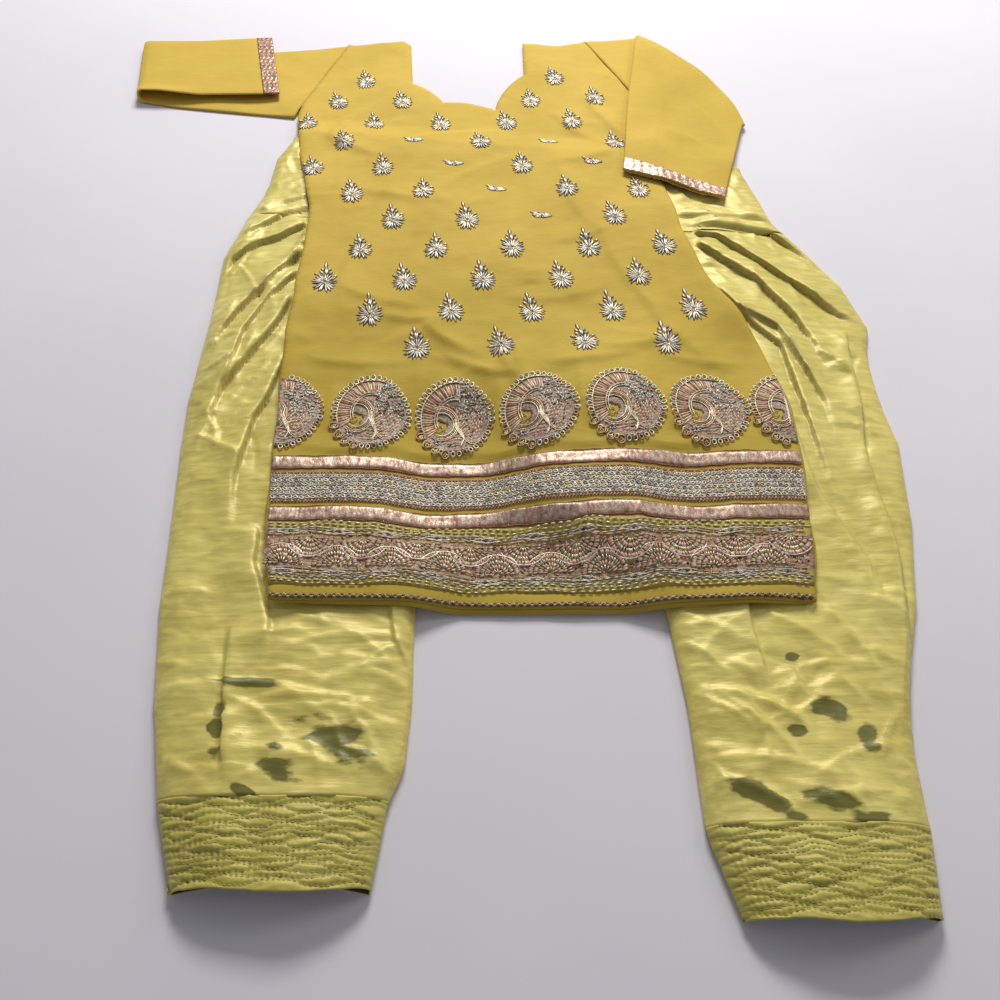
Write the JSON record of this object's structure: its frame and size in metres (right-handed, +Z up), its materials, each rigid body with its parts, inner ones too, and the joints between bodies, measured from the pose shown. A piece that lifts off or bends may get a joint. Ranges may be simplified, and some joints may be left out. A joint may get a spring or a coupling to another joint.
{
  "type": "salwar kameez suit",
  "caption": "Embroidered tunic laid flat on its gathered satin trousers, with one sleeve folded out and back and the other folded down.",
  "frame": {"origin": "on the surface under the middle of the suit's bounding box", "axes": "+Y from the trouser cuffs to the tunic's shoulders, +X across the suit to the right as seen from above with the shoulders away, +Z up from the surface"},
  "size_m": [1.0111, 1.3458, 0.036],
  "materials": {
    "kameez_silk": "mustard silk with a faint slub and a soft sheen",
    "salwar_satin": "lemon-green satin with a broad bright sheen",
    "quilted_satin": "satin stiffened with close rows of stitching",
    "metallic_ribbon": "crinkled rose and silver metallic ribbon",
    "zari_beadwork": "rows of silver-grey metal thread knots",
    "border_embroidery": "rose-copper thread filling with silver and gold running stitch",
    "roundel_embroidery": "raised metal thread paisleys in rose, copper and silver",
    "hem_braid": "dark gold twisted braid"
  },
  "bodies": {
    "root": {"kameez_front": "kameez_silk", "kameez_back": "kameez_silk", "sleeve_left": "kameez_silk", "sleeve_right": "kameez_silk", "sleeve_left_trim": "metallic_ribbon", "sleeve_right_trim": "metallic_ribbon", "ribbon_upper": "metallic_ribbon", "ribbon_lower": "metallic_ribbon", "zari_band": "zari_beadwork", "embroidered_border": "border_embroidery", "hem_piping": "hem_braid", "roundel_1": "roundel_embroidery", "roundel_2": "roundel_embroidery", "roundel_3": "roundel_embroidery", "roundel_4": "roundel_embroidery", "roundel_5": "roundel_embroidery", "roundel_6": "roundel_embroidery", "roundel_7": "roundel_embroidery", "salwar_belt": "salwar_satin", "salwar_leg_left": "salwar_satin", "salwar_leg_right": "salwar_satin", "salwar_cuff_left": "quilted_satin", "salwar_cuff_right": "quilted_satin"}
  },
  "joints": []
}
